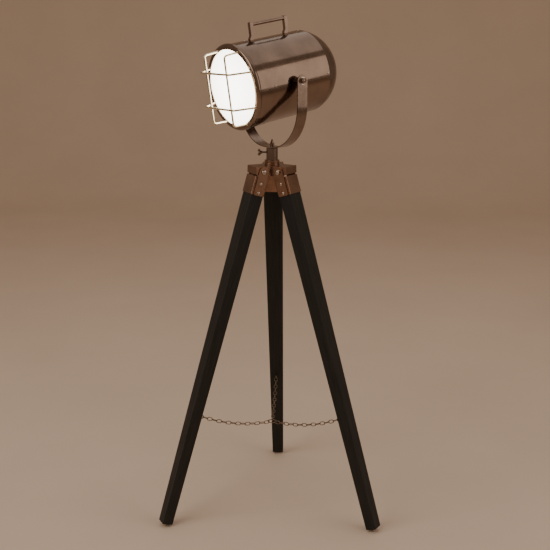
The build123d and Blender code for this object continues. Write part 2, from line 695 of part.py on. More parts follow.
def lens_arc(rim_x):
    """The dome's arc from the lens's flat rim to its middle."""
    radius = (LENS_FLAT**2 + LENS_RISE**2) / (2 * LENS_RISE)
    return CenterArc((rim_x + LENS_RISE - radius, 0), radius, 0, degrees(asin(LENS_FLAT / radius)))


lens_outline = [
    Line((LENS_REAR, LENS_FLAT), (LENS_REAR, LENS_RADIUS)),
    Line((LENS_REAR, LENS_RADIUS), (LENS_FRONT, LENS_RADIUS)),
    Line((LENS_FRONT, LENS_RADIUS), (LENS_FRONT, LENS_FLAT)),
    lens_arc(LENS_FRONT),
    Line((LENS_FRONT + LENS_RISE, 0), (LENS_REAR + LENS_RISE, 0)),
    lens_arc(LENS_REAR),
]
sub_parts["lens"] = head_place * turned(lens_outline)
sub_parts["lens_gasket"] = head_place * rod(
    (LENS_FRONT, 0, 0), (lip_rear, 0, 0), LENS_RADIUS, LENS_OPENING + 0.5
)
sub_parts["lens_spacer"] = head_place * rod(
    (MIRROR_FRONT, 0, 0), (LENS_REAR, 0, 0), SKIRT_INNER - 0.5, SPACER_INNER
)

# ---------------------------------------------------------------- wire guard


def guard_wire(half, standoff, wire_radius):
    """A wire with two feet on the bezel, in the XY plane: out, across and back."""
    foot = (GUARD_FOOT**2 - GUARD_SPACING**2) ** 0.5
    front = BEZEL_FRONT + standoff
    path = FilletPolyline(
        (BEZEL_FRONT, -foot), (front, -half), (front, half), (BEZEL_FRONT, foot), radius=GUARD_BEND
    )
    section = Plane(origin=path @ 0, z_dir=path % 0) * Circle(wire_radius)
    wire = sweep(section, path=path)
    cut = Pos(BEZEL_FRONT - wire_radius, 0, 0) * Box(2 * wire_radius, 4 * half, 4 * wire_radius)
    return wire - cut


upright = Rot(90, 0, 0) * guard_wire(UPRIGHT_HALF, GUARD_STANDOFF, GUARD_WIRE)
rail = guard_wire(RAIL_HALF, GUARD_STANDOFF + 2 * GUARD_WIRE, GUARD_WIRE)
sub_parts["guard_upright_near"] = head_place * Pos(0, GUARD_SPACING, 0) * upright
sub_parts["guard_upright_far"] = head_place * Pos(0, -GUARD_SPACING, 0) * upright
sub_parts["guard_rail_upper"] = head_place * Pos(0, 0, GUARD_SPACING) * rail
sub_parts["guard_rail_lower"] = head_place * Pos(0, 0, -GUARD_SPACING) * rail

# ---------------------------------------------------------------- handle

post_top = DRUM_RADIUS + POST_HEIGHT
grip_height = post_top - GRIP_DROP
grip_start = POST_REAR + POST_SIZE / 2 - GRIP_SEAT
grip_end = POST_FRONT - POST_SIZE / 2 + GRIP_SEAT


def handle_post(x):
    """A square post whose foot steps towards the front and stands on the drum."""
    half = POST_SIZE / 2
    high, low, base = DRUM_RADIUS + POST_KINK_HIGH, DRUM_RADIUS + POST_KINK_LOW, DRUM_RADIUS
    outline = Polyline(
        (x - half, post_top),
        (x + half, post_top),
        (x + half, high),
        (x + half + POST_KINK, low),
        (x + half + POST_KINK, base),
        (x - half + POST_KINK, base),
        (x - half + POST_KINK, low),
        (x - half, high),
        close=True,
    )
    post = extrude(Plane.XZ * make_face(outline), half, both=True)
    post = chamfer(post.faces().sort_by(Axis.Z)[-1].edges(), POST_CHAMFER)
    post -= rod((grip_start, 0, grip_height), (grip_end, 0, grip_height), GRIP_RADIUS)
    screw_end = BORE_RADIUS + HANDLE_SCREW_LENGTH
    return post - rod((x + POST_KINK, 0, base), (x + POST_KINK, 0, screw_end), HANDLE_SCREW_RADIUS)


sub_parts["handle_front_post"] = head_place * handle_post(POST_FRONT)
sub_parts["handle_rear_post"] = head_place * handle_post(POST_REAR)
grip = rod((grip_start, 0, grip_height), (grip_end, 0, grip_height), GRIP_RADIUS)
sub_parts["handle_grip"] = head_place * grip

screw_face = (BORE_RADIUS**2 - (2 * HANDLE_SCREW_RADIUS) ** 2) ** 0.5
handle_screws = []
for post in (POST_FRONT, POST_REAR):
    foot_x = post + POST_KINK
    seat, head_end = (foot_x, 0, screw_face), (foot_x, 0, screw_face - HANDLE_SCREW_RADIUS)
    shank = rod(seat, (foot_x, 0, BORE_RADIUS + HANDLE_SCREW_LENGTH), HANDLE_SCREW_RADIUS)
    handle_screws.append(shank + rod(head_end, seat, 2 * HANDLE_SCREW_RADIUS))
sub_parts["handle_screws"] = head_place * group(handle_screws)

# ---------------------------------------------------------------- tilt pivots

drum_bore = rod((DRUM_REAR, 0, 0), (DRUM_FRONT, 0, 0), BORE_RADIUS)
washer_face = YOKE_OUTER + RUN
knob_face = washer_face + WASHER_THICKNESS + RUN
stud_end = knob_face + KNOB_SEAT
studs, bushes, washers = [], [], []
for side in (-1, 1):
    head_start = (0, side * (BORE_RADIUS - STUD_HEAD_HEIGHT), 0)
    stud_head = rod(head_start, (0, side * DRUM_RADIUS, 0), STUD_HEAD_RADIUS) & drum_bore
    studs.append(stud_head + rod(head_start, (0, side * stud_end, 0), STUD_RADIUS))
    bush_start, bush_end = (0, side * (DRUM_RADIUS - 2), 0), (0, side * (YOKE_INNER - RUN), 0)
    bushes.append(rod(bush_start, bush_end, BUSH_RADIUS, STUD_RADIUS) - drum_core)
    washer_end = (0, side * (washer_face + WASHER_THICKNESS), 0)
    washers.append(rod((0, side * washer_face, 0), washer_end, WASHER_RADIUS, STUD_RADIUS))
sub_parts["tilt_studs"] = head_place * group(studs)
sub_parts["tilt_bushes"] = head_place * group(bushes)
sub_parts["tilt_washers"] = head_place * group(washers)


def tilt_knob(side):
    """A domed thumb nut on the end of a tilt stud."""
    start, end = (0, side * knob_face, 0), (0, side * (knob_face + KNOB_LENGTH), 0)
    knob = rod(start, end, KNOB_RADIUS)
    outer_edge = knob.edges().sort_by(Axis.Y)[-1 if side > 0 else 0]
    knob = fillet(outer_edge, KNOB_RADIUS / 2)
    return knob - rod(start, (0, side * (stud_end + 1), 0), STUD_RADIUS + RUN)


sub_parts["tilt_knob_near"] = head_place * tilt_knob(1)
sub_parts["tilt_knob_far"] = head_place * tilt_knob(-1)

# ---------------------------------------------------------------- reflector, lampholder and bulb

mirror_vertex = DRUM_FRONT - MIRROR_RIM**2 / (4 * MIRROR_FOCUS)


def mirror_curve(offset):
    """The reflector's parabola from its hole to its rim, moved along the beam."""
    vertex = mirror_vertex + offset
    hole = (vertex + MIRROR_HOLE**2 / (4 * MIRROR_FOCUS), MIRROR_HOLE)
    rim = (vertex + MIRROR_RIM**2 / (4 * MIRROR_FOCUS), MIRROR_RIM)
    handle = (vertex + MIRROR_HOLE * MIRROR_RIM / (4 * MIRROR_FOCUS), (MIRROR_HOLE + MIRROR_RIM) / 2)
    return Bezier(hole, handle, rim)


mirror_back, mirror_face = mirror_curve(0), mirror_curve(MIRROR_SHEET)
mirror_flange = DRUM_RADIUS - 0.5
mirror_outline = [
    mirror_back,
    Line(mirror_back @ 1, (DRUM_FRONT, mirror_flange)),
    Line((DRUM_FRONT, mirror_flange), (MIRROR_FRONT, mirror_flange)),
    Line((MIRROR_FRONT, mirror_flange), mirror_face @ 1),
    mirror_face,
    Line(mirror_face @ 0, mirror_back @ 0),
]
sub_parts["reflector"] = head_place * turned(mirror_outline)

tube_start = CAP_END - TUBE_OUTSIDE
stem_tube = rod((tube_start, 0, 0), (HOLDER_REAR, 0, 0), TUBE_RADIUS, TUBE_BORE)
sub_parts["lampholder_stem"] = head_place * stem_tube
cap_face = CAP_END + DRUM_WALL + 0.3
holder_nut = HOLDER_REAR - STEM_NUT_HEIGHT
sub_parts["stem_nuts"] = head_place * group(
    [
        hexagon((cap_face, 0, 0), (cap_face + STEM_NUT_HEIGHT, 0, 0), STEM_NUT_FLATS, TUBE_RADIUS),
        hexagon((holder_nut, 0, 0), (HOLDER_REAR, 0, 0), STEM_NUT_FLATS, TUBE_RADIUS),
    ]
)

holder_seat = HOLDER_REAR + HOLDER_FLOOR
lampholder = rod((HOLDER_REAR, 0, 0), (HOLDER_FRONT, 0, 0), HOLDER_RADIUS)
lampholder = fillet(lampholder.edges().sort_by(Axis.X)[0], 3)
lampholder -= rod((holder_seat, 0, 0), (HOLDER_FRONT, 0, 0), BULB_BASE_RADIUS + RUN)
lampholder -= rod((HOLDER_REAR, 0, 0), (holder_seat, 0, 0), TUBE_BORE)
sub_parts["lampholder"] = head_place * lampholder

bulb_ball = holder_seat + BULB_LENGTH - BULB_RADIUS
bulb_neck = holder_seat + BULB_BASE_LENGTH
bulb = rod((holder_seat, 0, 0), (bulb_neck, 0, 0), BULB_BASE_RADIUS)
bulb += cone((bulb_neck, 0, 0), (bulb_ball - BULB_RADIUS / 2, 0, 0), BULB_BASE_RADIUS, BULB_RADIUS * 0.866)
bulb += Pos(bulb_ball, 0, 0) * Sphere(BULB_RADIUS)
sub_parts["bulb"] = head_place * bulb

gland_face = CAP_END - 0.1
gland_end = gland_face - GLAND_LENGTH
gland = hexagon((gland_face - GLAND_BASE, 0, 0), (gland_face, 0, 0), 2 * GLAND_RADIUS)
gland += cone((gland_face - GLAND_BASE, 0, 0), (gland_end, 0, 0), GLAND_RADIUS - 0.5, GLAND_END_RADIUS)
gland -= rod((tube_start, 0, 0), (gland_face, 0, 0), TUBE_RADIUS)
gland -= rod((gland_end, 0, 0), (tube_start, 0, 0), GLAND_BORE)
sub_parts["cable_gland"] = head_place * gland

# ---------------------------------------------------------------- write

for name, shape in sub_parts.items():
    export_step(shape, f"parts/{name}.step")
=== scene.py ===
import json
from math import asin, cos, pi, radians, sin

import bmesh
import bpy
from mathutils import Matrix, Vector


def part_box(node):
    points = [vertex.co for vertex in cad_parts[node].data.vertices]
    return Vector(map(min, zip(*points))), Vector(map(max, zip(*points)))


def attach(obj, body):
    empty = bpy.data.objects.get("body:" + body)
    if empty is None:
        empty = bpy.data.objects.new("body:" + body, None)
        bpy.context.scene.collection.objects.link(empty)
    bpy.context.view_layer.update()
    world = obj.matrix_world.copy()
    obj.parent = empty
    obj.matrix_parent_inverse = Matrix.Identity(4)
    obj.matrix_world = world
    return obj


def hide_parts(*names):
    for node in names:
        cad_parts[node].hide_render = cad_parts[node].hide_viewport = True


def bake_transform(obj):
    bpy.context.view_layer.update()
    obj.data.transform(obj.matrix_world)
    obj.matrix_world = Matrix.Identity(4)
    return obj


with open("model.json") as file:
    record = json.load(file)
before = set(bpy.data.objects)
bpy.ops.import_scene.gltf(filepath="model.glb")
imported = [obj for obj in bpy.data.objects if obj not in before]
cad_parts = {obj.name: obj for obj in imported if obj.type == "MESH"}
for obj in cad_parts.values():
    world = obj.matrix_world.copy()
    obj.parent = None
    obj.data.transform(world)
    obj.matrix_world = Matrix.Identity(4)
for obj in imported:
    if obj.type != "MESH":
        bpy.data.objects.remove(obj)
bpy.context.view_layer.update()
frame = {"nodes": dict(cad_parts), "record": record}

bl_info = {
    "name": "Tripod searchlight floor lamp",
    "version": (1, 0, 0),
    "blender": (4, 5, 0),
    "location": "View3D > Sidebar > Floor lamp",
    "description": "Chains, screws, knobs, finishes and stage for a searchlight on a wooden tripod",
    "category": "Object",
}

SIDES = {"rear": 90.0, "left": 210.0, "right": 330.0}
JOINTS = {joint["name"]: joint for joint in frame["record"]["behaviour"]["joints"]}
MOUNTS = {mount["name"]: mount for mount in frame["record"]["mounts"]}


# ---------------------------------------------------------------- places read from the frame


def middle(node):
    """The middle of a CAD node's box."""
    low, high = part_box(node)
    return (low + high) / 2


PIVOT = Vector(JOINTS["head_tilt"]["pos_m"])
NEAR_SIDE = -Vector(JOINTS["head_tilt"]["axis"]).normalized()
BEAM = (PIVOT - Vector(MOUNTS["cable_entry"]["pos_m"])).normalized()
HEAD_UP = BEAM.cross(NEAR_SIDE).normalized()


def head_point(along, side, up):
    """A point of the head, from the tilt axis along the beam, to the near side and up."""
    return PIVOT + BEAM * along + NEAR_SIDE * side + HEAD_UP * up


def leg_axes(side):
    """A leg's pivot, the direction of its pivot bolt and the direction up the leg."""
    joint = JOINTS[f"{side}_leg_fold"]
    pivot = Vector(joint["pos_m"])
    across = Vector(joint["axis"]).normalized()
    up_leg = (pivot - Vector(MOUNTS[f"{side}_foot"]["pos_m"])).normalized()
    return pivot, across, up_leg


# ---------------------------------------------------------------- sizes, in metres

DRUM_RADIUS = 0.118
SKIRT_RADIUS = 0.11955      # outside of the bezel's skirt
BEZEL_FRONT = 0.142         # from the tilt axis along the beam
GUARD_WIRE = 0.003          # radius
GUARD_SPACING = 0.0486      # from the middle to a wire
GUARD_FOOT = 0.1108         # from the beam's axis to a foot
GUARD_STANDOFF = 0.045
WELD_BEAD = (0.0036, 0.0036, 0.0022)
COLLAR_RADIUS = 0.0011      # of a foot weld's section
COLLAR_GAP = 0.0002
COLLAR_LIFT = 0.0003
LINK_PLAY = 0.0003          # between the wires of two links
EYE_OUTER = 0.0065          # outside radius of the leg's chain eye
EYE_WIRE = 0.0026           # across
STRAP_FACE = 0.033          # from the leg's middle to the outside of a strap
STRAP_SCREW_DROPS = (0.035, 0.062)
STRAP_SCREW_HEIGHT = 0.0028
STRAP_SCREW_SLOT = 0.0011
BODY_SCREW_HEIGHT = 0.002
BODY_SCREW_SLOT = 0.0008
KNOB_SIDES = 48
FLUTE_EVERY = 3             # every third side of a knob is a flute
SCREW_START = 0.0112        # of the thumb screw, from the stand's axis
SCREW_WING = 0.038          # from the stand's axis to the wings
SCREW_RADIUS = 0.0025
BOSS_RADIUS = 0.0045
BOSS_LENGTH = 0.009
BOSS_CHAMFERS = ((-0.0085, 0.0014), (-0.0003, 0.0012))
WING_SPREAD = 0.0055
WING_THICKNESS = 0.003
FLOOR_SIZE = 14.0
BACKDROP_HEIGHT = 6.0
BACKDROP_BEND = 2.2
LIGHT_TARGET = Vector((0, 0, 0.9))
CAMERA_PLACE = (0.1636, -2.8993, 1.4971)
CAMERA_DIP = 14.52          # degrees below level
CAMERA_SWING = 3.06         # degrees about +Z
CAMERA_LENS = 64.98         # millimetres


# ---------------------------------------------------------------- settings


class LampSizes(bpy.types.PropertyGroup):
    """Sizes of the pieces that are modelled here."""

    link_wire: bpy.props.FloatProperty(
        name="Link wire", description="Radius of the chain's wire", default=0.00125, unit="LENGTH"
    )
    link_width: bpy.props.FloatProperty(
        name="Link width", description="Outside width of a chain link", default=0.012, unit="LENGTH"
    )
    link_count: bpy.props.IntProperty(
        name="Links", description="Number of links in each chain", default=14, min=2
    )
    chain_sag: bpy.props.FloatProperty(
        name="Chain sag", description="How far a chain hangs below a straight line", default=0.013,
        unit="LENGTH",
    )
    knob_radius: bpy.props.FloatProperty(
        name="Knob radius", description="Radius of the two tilt knobs", default=0.008, unit="LENGTH"
    )
    knob_length: bpy.props.FloatProperty(
        name="Knob length", description="Length of the two tilt knobs", default=0.009, unit="LENGTH"
    )
    wing_radius: bpy.props.FloatProperty(
        name="Wing radius", description="Radius of a thumb screw's wing", default=0.0045, unit="LENGTH"
    )
    strap_screw_radius: bpy.props.FloatProperty(
        name="Strap screw radius", description="Radius of a strap screw's head", default=0.0046, unit="LENGTH"
    )
    body_screw_radius: bpy.props.FloatProperty(
        name="Body screw radius", description="Radius of a body screw's head", default=0.0032, unit="LENGTH"
    )


class LampFinish(bpy.types.PropertyGroup):
    """Colours and strengths of the finishes and the stage."""

    metal: bpy.props.FloatVectorProperty(
        name="Metal", description="Colour of the polished metal", default=(0.235, 0.168, 0.132), size=3,
        subtype="COLOR",
    )
    satin: bpy.props.FloatVectorProperty(
        name="Satin metal", description="Colour of the hub and sleeves", default=(0.27, 0.155, 0.105), size=3,
        subtype="COLOR",
    )
    wood: bpy.props.FloatVectorProperty(
        name="Wood", description="Colour of the legs' black lacquer", default=(0.010, 0.009, 0.008), size=3,
        subtype="COLOR",
    )
    glow: bpy.props.FloatVectorProperty(
        name="Glow", description="Colour of the lit lens", default=(1.0, 0.93, 0.80), size=3, subtype="COLOR"
    )
    glow_strength: bpy.props.FloatProperty(
        name="Glow strength", description="Brightness of the lit lens", default=7.0, min=0.0
    )
    floor: bpy.props.FloatVectorProperty(
        name="Floor", description="Colour of the floor and backdrop", default=(0.72, 0.58, 0.47), size=3,
        subtype="COLOR",
    )
    surroundings: bpy.props.FloatVectorProperty(
        name="Surroundings", description="Colour of the light from all round",
        default=(0.52, 0.40, 0.30), size=3, subtype="COLOR",
    )
    key_power: bpy.props.FloatProperty(
        name="Key light", description="Power of the main soft light", default=60.0, unit="POWER"
    )


# ---------------------------------------------------------------- modelling helpers


def add(primitive, **settings):
    """Adds a primitive with nothing else selected, and returns its object."""
    if bpy.context.object and bpy.context.object.mode != "OBJECT":
        bpy.ops.object.mode_set(mode="OBJECT")
    bpy.ops.object.select_all(action="DESELECT")
    primitive(**settings)
    return bpy.context.active_object


def select_faces(test):
    """Selects the active object's faces whose middle and normal pass a test, in edit mode."""
    mesh = bmesh.from_edit_mesh(bpy.context.edit_object.data)
    bpy.context.tool_settings.mesh_select_mode = (False, False, True)
    bpy.ops.mesh.select_all(action="DESELECT")
    for face in mesh.faces:
        if test(face.calc_center_median(), face.normal):
            face.select_set(True)
    mesh.select_flush_mode()
    bmesh.update_edit_mesh(bpy.context.edit_object.data)


def select_edges(test):
    """Selects the active object's edges whose two ends pass a test, in edit mode."""
    mesh = bmesh.from_edit_mesh(bpy.context.edit_object.data)
    bpy.context.tool_settings.mesh_select_mode = (False, True, False)
    bpy.ops.mesh.select_all(action="DESELECT")
    for edge in mesh.edges:
        if all(test(vertex.co) for vertex in edge.verts):
            edge.select_set(True)
    mesh.select_flush_mode()
    bmesh.update_edit_mesh(bpy.context.edit_object.data)


def select_vertices(test):
    """Selects the active object's vertices that pass a test, in edit mode."""
    mesh = bmesh.from_edit_mesh(bpy.context.edit_object.data)
    bpy.context.tool_settings.mesh_select_mode = (True, False, False)
    bpy.ops.mesh.select_all(action="DESELECT")
    for vertex in mesh.verts:
        vertex.select_set(test(vertex.co))
    mesh.select_flush_mode()
    bmesh.update_edit_mesh(bpy.context.edit_object.data)


def copies(pattern, places, name):
    """Copies of a modelled object at each place, joined into one piece; the pattern is removed."""
    made = []
    for place in places:
        copy = bpy.data.objects.new(name, pattern.data.copy())
        copy.data.transform(place)
        bpy.context.collection.objects.link(copy)
        made.append(copy)
    bpy.data.objects.remove(pattern, do_unlink=True)
    return joined(made, name)


def joined(objects, name):
    """Several objects joined into one piece with smooth faces and its place in its mesh."""
    bpy.ops.object.select_all(action="DESELECT")
    for item in objects:
        item.select_set(True)
    bpy.context.view_layer.objects.active = objects[0]
    if len(objects) > 1:
        bpy.ops.object.join()
    piece = bpy.context.active_object
    bpy.ops.object.transform_apply(location=True, rotation=True, scale=True)
    bpy.ops.object.mode_set(mode="EDIT")
    bpy.ops.mesh.select_all(action="SELECT")
    bpy.ops.mesh.normals_make_consistent(inside=False)
    bpy.ops.object.mode_set(mode="OBJECT")
    bpy.ops.object.shade_smooth_by_angle(angle=radians(35))
    piece.name = name
    piece.data.name = name
    return piece


def place_along(origin, direction, sideways):
    """A matrix whose Z axis points along a direction and whose X axis is near sideways."""
    up = direction.normalized()
    across = (sideways - up * sideways.dot(up)).normalized()
    rows = Matrix((across, up.cross(across), up)).transposed().to_4x4()
    rows.translation = origin
    return rows


def slotted_head(radius, height, slot):
    """A round-headed screw's head standing on the XY plane, with its slot along X."""
    head = add(
        bpy.ops.mesh.primitive_cylinder_add, vertices=28, radius=radius, depth=height,
        location=(0, 0, height / 2),
    )
    bpy.ops.object.transform_apply(location=True, rotation=True, scale=True)
    bpy.ops.object.mode_set(mode="EDIT")
    select_edges(lambda point: point.z > height * 0.99)
    bpy.ops.mesh.bevel(offset=height * 0.72, segments=5, profile=0.5)
    bpy.ops.object.mode_set(mode="OBJECT")
    cutter = add(bpy.ops.mesh.primitive_cube_add, size=1, location=(0, 0, height))
    cutter.scale = (radius * 3, slot, slot * 2)
    bpy.ops.object.transform_apply(location=True, rotation=True, scale=True)
    bpy.context.view_layer.objects.active = head
    cut = head.modifiers.new("Slot", "BOOLEAN")
    cut.operation = "DIFFERENCE"
    cut.solver = "EXACT"
    cut.object = cutter
    bpy.ops.object.modifier_apply(modifier=cut.name)
    bpy.data.objects.remove(cutter, do_unlink=True)
    return head


# ---------------------------------------------------------------- finishes


class Nodes:
    """Builds a material's nodes from left to right."""

    def __init__(self, name):
        self.material = bpy.data.materials.get(name) or bpy.data.materials.new(name)
        self.material.use_nodes = True
        self.tree = self.material.node_tree
        self.tree.nodes.clear()
        self.output = self.tree.nodes.new("ShaderNodeOutputMaterial")
        self.shader = self.tree.nodes.new("ShaderNodeBsdfPrincipled")
        self.join(self.shader, "BSDF", self.output, "Surface")
        self.coordinates = self.tree.nodes.new("ShaderNodeTexCoord")

    def join(self, source, output, target, socket):
        self.tree.links.new(source.outputs[output], target.inputs[socket])

    def mapping(self, scale=(1, 1, 1), turn=(0, 0, 0), centre=(0, 0, 0)):
        """Object coordinates, centred and turned, with long scales giving long streaks."""
        node = self.tree.nodes.new("ShaderNodeMapping")
        node.vector_type = "TEXTURE"
        node.inputs["Location"].default_value = centre
        node.inputs["Rotation"].default_value = turn
        node.inputs["Scale"].default_value = scale
        self.join(self.coordinates, "Object", node, "Vector")
        return node

    def noise(self, mapping, scale, detail=4.0, roughness=0.55):
        node = self.tree.nodes.new("ShaderNodeTexNoise")
        node.inputs["Scale"].default_value = scale
        node.inputs["Detail"].default_value = detail
        node.inputs["Roughness"].default_value = roughness
        self.join(mapping, "Vector", node, "Vector")
        return node

    def ramp(self, source, output, stops):
        node = self.tree.nodes.new("ShaderNodeValToRGB")
        elements = node.color_ramp.elements
        elements[0].position, elements[0].color = stops[0][0], (*stops[0][1], 1)
        elements[1].position, elements[1].color = stops[-1][0], (*stops[-1][1], 1)
        for position, colour in stops[1:-1]:
            elements.new(position).color = (*colour, 1)
        self.join(source, output, node, "Fac")
        return node

    def bump(self, source, output, strength, distance, below=None):
        node = self.tree.nodes.new("ShaderNodeBump")
        node.inputs["Strength"].default_value = strength
        node.inputs["Distance"].default_value = distance
        self.join(source, output, node, "Height")
        if below:
            self.join(below, "Normal", node, "Normal")
        return node


def shaded(colour, factor):
    """A colour made lighter or darker."""
    return tuple(min(1.0, channel * factor) for channel in colour)


def grey(value):
    """A grey for a ramp that drives a number."""
    return (value, value, value)


def metal_finish(name, colour, gloss, streak_turn=(0, 0, 0), streaks=(1, 1, 1), wear=0.3, bump=0.04):
    """Plated metal: cloudy tone, tarnish specks, fine polishing lines and handling marks."""
    made = Nodes(name)
    even = made.mapping()
    clouds = made.noise(even, 14, 5)
    tone = made.ramp(
        clouds, "Fac", [(0.30, shaded(colour, 0.78)), (0.52, colour), (0.74, shaded(colour, 1.14))]
    )
    specks = made.noise(even, 420, 2)
    marks = made.ramp(specks, "Fac", [(0.62, (1, 1, 1)), (0.76, shaded((1, 0.9, 0.8), 0.55))])
    mixed = made.tree.nodes.new("ShaderNodeMixRGB")
    mixed.blend_type = "MULTIPLY"
    mixed.inputs["Fac"].default_value = wear
    made.join(tone, "Color", mixed, "Color1")
    made.join(marks, "Color", mixed, "Color2")
    made.join(mixed, "Color", made.shader, "Base Color")
    made.shader.inputs["Metallic"].default_value = 1.0
    lines = made.noise(made.mapping(streaks, streak_turn), 300, 4)
    smears = made.noise(even, 26, 6, 0.7)
    rough = made.tree.nodes.new("ShaderNodeMixRGB")
    rough.inputs["Fac"].default_value = 0.45
    made.join(lines, "Fac", rough, "Color1")
    made.join(smears, "Fac", rough, "Color2")
    polish = made.ramp(rough, "Color", [(0.30, grey(gloss * 0.6)), (0.72, grey(gloss * 1.7))])
    made.join(polish, "Color", made.shader, "Roughness")
    fine = made.bump(lines, "Fac", bump, 0.0004)
    dents = made.noise(even, 9, 2)
    broad = made.bump(dents, "Fac", bump, 0.0015, fine)
    made.join(broad, "Normal", made.shader, "Normal")


def wood_finish(name, colour, side):
    """Black lacquer over open grain that runs along one leg."""
    pivot, _, up_leg = leg_axes(side)
    splay = asin(Vector((up_leg.x, up_leg.y)).length)
    made = Nodes(name)
    along = made.mapping((0.010, 0.010, 0.30), (0, -splay, radians(SIDES[side])), pivot)
    grain = made.noise(along, 3.2, 8, 0.62)
    tone = made.ramp(
        grain, "Fac",
        [
            (0.34, shaded(colour, 0.55)), (0.50, colour),
            (0.62, shaded(colour, 1.5)), (0.74, shaded(colour, 2.6)),
        ],
    )
    even = made.mapping()
    rubs = made.noise(even, 34, 6, 0.7)
    worn = made.ramp(rubs, "Fac", [(0.66, (0, 0, 0)), (0.80, grey(0.55))])
    bare = made.tree.nodes.new("ShaderNodeMixRGB")
    bare.inputs["Color2"].default_value = (0.050, 0.036, 0.026, 1)
    made.join(worn, "Color", bare, "Fac")
    made.join(tone, "Color", bare, "Color1")
    made.join(bare, "Color", made.shader, "Base Color")
    polish = made.ramp(grain, "Fac", [(0.30, grey(0.62)), (0.70, grey(0.40))])
    made.join(polish, "Color", made.shader, "Roughness")
    made.shader.inputs["Specular IOR Level"].default_value = 0.35
    pores = made.noise(made.mapping((0.004, 0.004, 0.12), (0, -splay, radians(SIDES[side])), pivot), 4, 5)
    fine = made.bump(pores, "Fac", 0.28, 0.0006)
    broad = made.bump(grain, "Fac", 0.20, 0.0008, fine)
    made.join(broad, "Normal", made.shader, "Normal")


def lens_finish(name, glow, strength):
    """Lit frosted glass, brightest at its middle, with a fine moulded texture."""
    made = Nodes(name)
    centre = middle("lens")
    round_lens = made.mapping(grey(0.14), centre=centre)
    falloff = made.tree.nodes.new("ShaderNodeTexGradient")
    falloff.gradient_type = "SPHERICAL"
    made.join(round_lens, "Vector", falloff, "Vector")
    light = made.ramp(
        falloff, "Color", [(0.0, shaded(glow, 0.55)), (0.30, shaded(glow, 0.85)), (0.75, (1.0, 0.98, 0.93))]
    )
    made.join(light, "Color", made.shader, "Emission Color")
    made.shader.inputs["Emission Strength"].default_value = strength
    frost = made.noise(made.mapping(), 160, 4)
    made.join(made.ramp(frost, "Fac", [(0.3, (0.86, 0.84, 0.80)), (0.7, (0.95, 0.94, 0.92))]), "Color",
              made.shader, "Base Color")
    polish = made.ramp(frost, "Fac", [(0.3, grey(0.18)), (0.7, grey(0.34))])
    made.join(polish, "Color", made.shader, "Roughness")
    ripple = made.bump(made.noise(made.mapping(), 60, 2), "Fac", 0.2, 0.0008)
    made.join(ripple, "Normal", made.shader, "Normal")


def plain_finish(name, colour, roughness, scale, spread=0.25, bump=0.15, glow=0.0):
    """A dull moulded, glazed or rubber surface with mottled tone and a fine bump."""
    made = Nodes(name)
    mottle = made.noise(made.mapping(), scale, 6)
    tone = made.ramp(mottle, "Fac", [(0.3, shaded(colour, 1 - spread)), (0.7, shaded(colour, 1 + spread))])
    made.join(tone, "Color", made.shader, "Base Color")
    polish = made.ramp(mottle, "Fac", [(0.3, grey(roughness * 0.8)), (0.7, grey(min(1, roughness * 1.2)))])
    made.join(polish, "Color", made.shader, "Roughness")
    made.join(made.bump(mottle, "Fac", bump, 0.0005), "Normal", made.shader, "Normal")
    if glow:
        made.join(tone, "Color", made.shader, "Emission Color")
        made.shader.inputs["Emission Strength"].default_value = glow


def finishes():
    """Makes every finish of the lamp."""
    look = bpy.context.scene.lamp_finish
    metal, satin = tuple(look.metal), tuple(look.satin)
    beam_turn = BEAM.to_track_quat("X", "Z").to_euler()
    metal_finish("polished_nickel", metal, 0.13, beam_turn, (4, 1, 1), 0.35, 0.03)
    metal_finish("polished_fittings", metal, 0.17, wear=0.3, bump=0.02)
    metal_finish("spun_cap", shaded(metal, 0.92), 0.22, beam_turn, (0.3, 2, 2), 0.4, 0.04)
    metal_finish("brushed_strap", shaded(metal, 1.05), 0.20, (0, 0, 0), (1, 1, 4), 0.3, 0.025)
    metal_finish("satin_casting", satin, 0.30, wear=0.6, bump=0.12)
    metal_finish("satin_sleeve", shaded(satin, 1.08), 0.27, (0, 0, 0), (1, 1, 3), 0.55, 0.08)
    metal_finish("bright_screws", (0.52, 0.45, 0.38), 0.19, wear=0.4, bump=0.04)
    # The guard wire's pale cream colour is painted light: it is the same metal as the drum, made bright to
    # stand in for the lit lens shining on the wires.
    metal_finish("guard_wire_painted_lens_light", (0.80, 0.70, 0.52), 0.20, wear=0.3, bump=0.04)
    metal_finish("dull_chain", (0.22, 0.165, 0.12), 0.34, wear=0.8, bump=0.12)
    lens_finish("lit_lens", tuple(look.glow), look.glow_strength)
    metal_finish("silvered_reflector", (0.85, 0.84, 0.80), 0.08, wear=0.1, bump=0.02)
    plain_finish("black_rubber", (0.018, 0.017, 0.016), 0.65, 90)
    plain_finish("porcelain", (0.72, 0.69, 0.63), 0.22, 40, 0.08, 0.05)
    plain_finish("frosted_bulb", (0.95, 0.90, 0.80), 0.3, 60, 0.05, 0.03, 4.0)
    metal_finish("brass", (0.55, 0.38, 0.16), 0.25, wear=0.5, bump=0.06)
    for side in SIDES:
        wood_finish(f"black_wood_{side}", tuple(look.wood), side)


